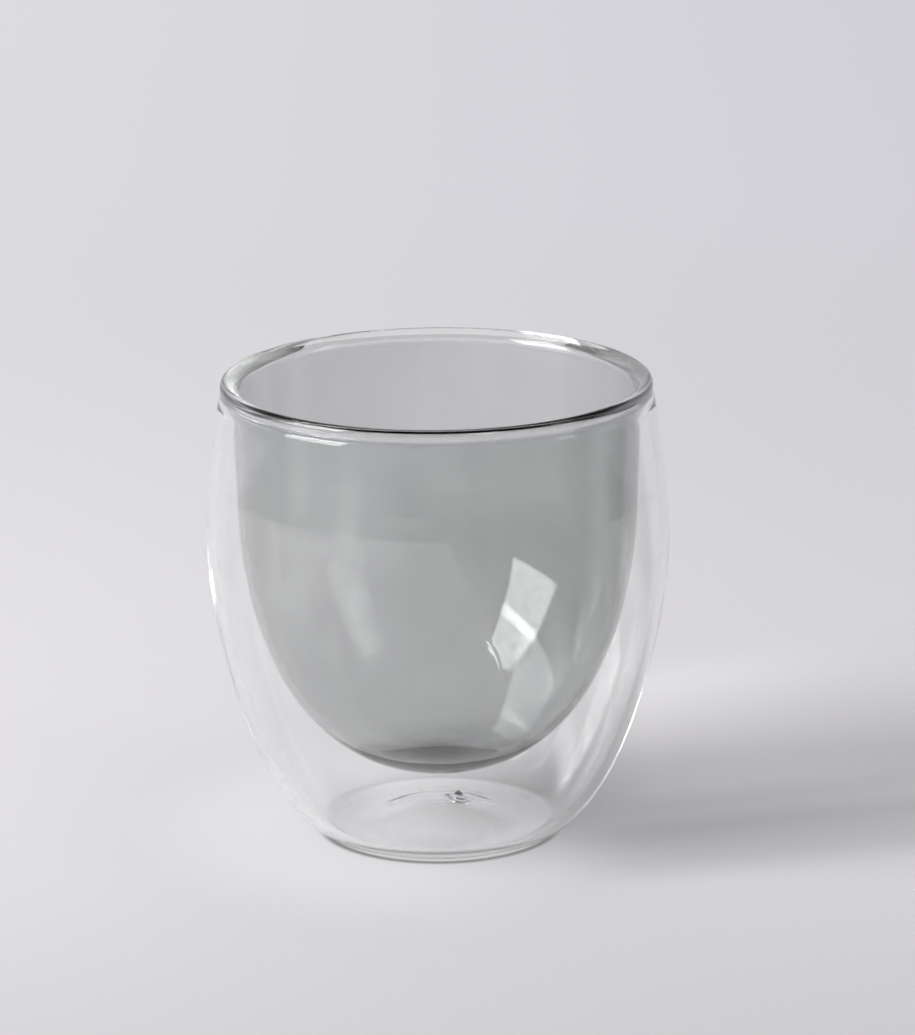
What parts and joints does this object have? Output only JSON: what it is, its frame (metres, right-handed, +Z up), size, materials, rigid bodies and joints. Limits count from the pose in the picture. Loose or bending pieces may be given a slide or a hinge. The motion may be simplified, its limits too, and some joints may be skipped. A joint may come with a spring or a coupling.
{
  "type": "double-walled glass cup",
  "caption": "Double-walled drinking glass: a smoke-grey bowl welded at its rounded rim into a clear bulging shell with sealed air between, a pushed-up base and a sealed vent.",
  "frame": {"origin": "on the cup's axis at the surface it stands on, the centre of the flat foot ring", "axes": "+Z up along the cup's axis; +X to the right and +Y away from the viewer in the picture"},
  "size_m": [0.089, 0.089, 0.0898],
  "materials": {
    "clear_glass": "clear, fire-polished",
    "smoke_glass": "smoke-grey tint, fire-polished",
    "rim_glass": "clear, fire-polished",
    "seal_glass": "clear melted drop"
  },
  "bodies": {
    "root": {"outer_wall": "clear_glass", "inner_liner": "smoke_glass", "rim_bead": "rim_glass", "vent_seal": "seal_glass"}
  },
  "joints": []
}
